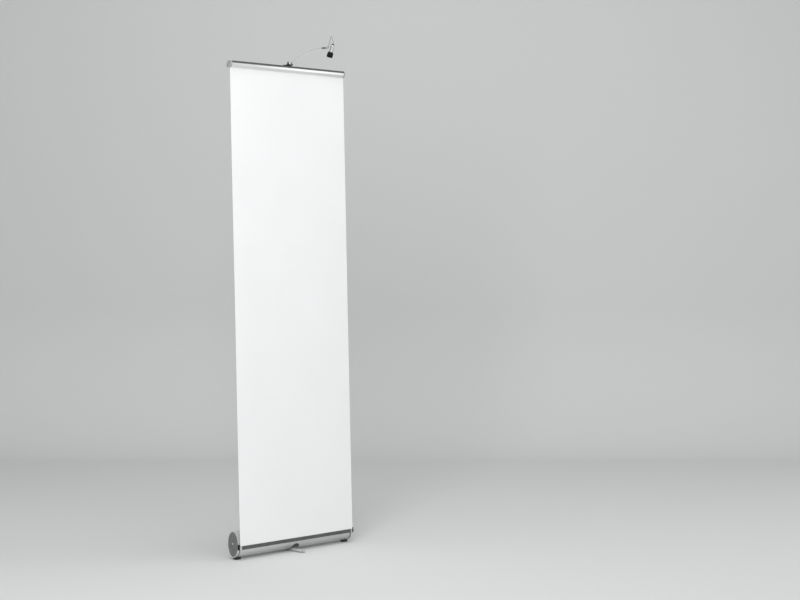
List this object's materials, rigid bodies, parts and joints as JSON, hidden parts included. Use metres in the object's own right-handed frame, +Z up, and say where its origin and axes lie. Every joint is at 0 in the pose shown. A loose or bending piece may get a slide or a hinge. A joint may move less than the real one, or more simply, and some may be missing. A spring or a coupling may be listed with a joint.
{
  "type": "roll-up banner stand",
  "caption": "Roll-up banner stand: oval cassette with spring roller, swivel foot, telescopic pole, clamp rail, plain white banner and a clip-on lamp on a bowed arm.",
  "frame": {"origin": "on the floor under the middle of the cassette, on the swivel foot's pivot", "axes": "+Z up, +X along the cassette to the viewer's right, -Y the way the banner faces"},
  "size_m": [0.6176, 0.3909, 2.1459],
  "materials": {
    "satin_aluminium": "satin anodised, extruded lengthwise",
    "end_face": "dark grey, fine grain",
    "rail_trim": "mid grey, fine grain",
    "black_plastic": "black, fine grain",
    "rubber": "matt black",
    "foot_metal": "silver paint",
    "bright_steel": "bright",
    "spring_steel": "oiled",
    "nylon": "natural nylon",
    "banner_white": "smooth matt white banner film",
    "lamp_chrome": "polished",
    "shade_black": "black satin paint",
    "frosted_lens": "frosted",
    "lead_grey": "grey sheathed flex"
  },
  "bodies": {
    "cassette": {"cassette_shell": "satin_aluminium", "slot_guide_strip": "black_plastic", "foot_bracket": "black_plastic", "end_cap_left": "satin_aluminium", "end_cap_right": "satin_aluminium", "end_disc_left": "end_face", "end_disc_right": "end_face", "end_screw_left": "bright_steel", "end_screw_right": "bright_steel", "lip_plug_left": "black_plastic", "lip_plug_right": "black_plastic", "foot_shoe_left": "rubber", "foot_shoe_right": "rubber", "roller_axle": "bright_steel", "torsion_spring": "spring_steel", "banner_leader": "banner_white", "foot_washer": "nylon", "pole_socket": "black_plastic", "pole_lower_tube": "satin_aluminium", "banner": "banner_white"},
    "roller": {"roller_tube": "satin_aluminium", "banner_roll": "banner_white", "roller_bush_left": "black_plastic", "roller_bush_right": "black_plastic"},
    "foot": {"swivel_foot": "foot_metal", "foot_plug_front": "rubber", "foot_plug_rear": "rubber", "foot_pivot_screw": "bright_steel"},
    "lower_collar": {"pole_collar_lower": "black_plastic"},
    "middle_pole": {"pole_middle_tube": "satin_aluminium"},
    "upper_collar": {"pole_collar_upper": "black_plastic"},
    "rail": {"pole_upper_tube": "satin_aluminium", "rail_body": "satin_aluminium", "rail_end_cap_left": "rail_trim", "rail_end_cap_right": "rail_trim", "pole_hook": "black_plastic", "lamp_clamp": "black_plastic", "arm_bolt": "bright_steel", "cable_gland": "black_plastic"},
    "jaw": {"rail_jaw": "satin_aluminium", "rail_jaw_strip": "black_plastic"},
    "knob": {"clamp_knob": "black_plastic"},
    "arm": {"arm_barrel": "satin_aluminium", "lamp_arm": "satin_aluminium", "arm_sleeve": "end_face", "arm_knuckle": "satin_aluminium"},
    "head": {"lamp_yoke": "lamp_chrome", "knuckle_pin": "bright_steel", "lamp_body": "lamp_chrome", "lamp_cap": "black_plastic", "lamp_shade": "shade_black", "led_module": "end_face", "lamp_lens": "frosted_lens", "lamp_lead": "lead_grey"}
  },
  "joints": [
    {"name": "rail_slide", "type": "slide", "parent": "cassette", "child": "rail", "axis": [0, 0, -1], "range_m": [0, 1.16], "deforming": ["banner"]},
    {"name": "middle_slide", "type": "slide", "parent": "cassette", "child": "middle_pole", "axis": [0, 0, -1], "range_m": [0, 0.58]},
    {"name": "roller_spin", "type": "hinge", "parent": "cassette", "child": "roller", "pos_m": [0, 0.009, 0.066], "axis": [1, 0, 0], "range_deg": [0, 3409.7]},
    {"name": "foot_swivel", "type": "hinge", "parent": "cassette", "child": "foot", "pos_m": [0, 0, 0], "axis": [0, 0, 1], "range_deg": [0, 90]},
    {"name": "lower_collar_twist", "type": "hinge", "parent": "cassette", "child": "lower_collar", "pos_m": [0, 0.0601, 0.7402], "axis": [0, 0, 1], "range_deg": [0, 90]},
    {"name": "upper_collar_twist", "type": "hinge", "parent": "middle_pole", "child": "upper_collar", "pos_m": [0, 0.0601, 1.3831], "axis": [0, 0, 1], "range_deg": [0, 90]},
    {"name": "jaw_open", "type": "hinge", "parent": "rail", "child": "jaw", "pos_m": [0, 0.0205, 2.0465], "axis": [-1, 0, 0], "range_deg": [0, 28]},
    {"name": "knob_turn", "type": "hinge", "parent": "rail", "child": "knob", "pos_m": [0, 0.0431, 2.04725], "axis": [0, 1, 0], "range_deg": [0, 720]},
    {"name": "arm_pitch", "type": "hinge", "parent": "rail", "child": "arm", "pos_m": [0, 0.0145, 2.059], "axis": [-1, 0, 0], "range_deg": [-8, 75]},
    {"name": "head_tilt", "type": "hinge", "parent": "arm", "child": "head", "pos_m": [0, -0.2385, 2.101], "axis": [1, 0, 0], "range_deg": [-35, 40]}
  ],
  "couplings": [
    {"joint": "middle_slide", "follows": "rail_slide", "ratio": 0.5},
    {"joint": "roller_spin", "follows": "rail_slide", "rad_per_m": 51.28}
  ]
}
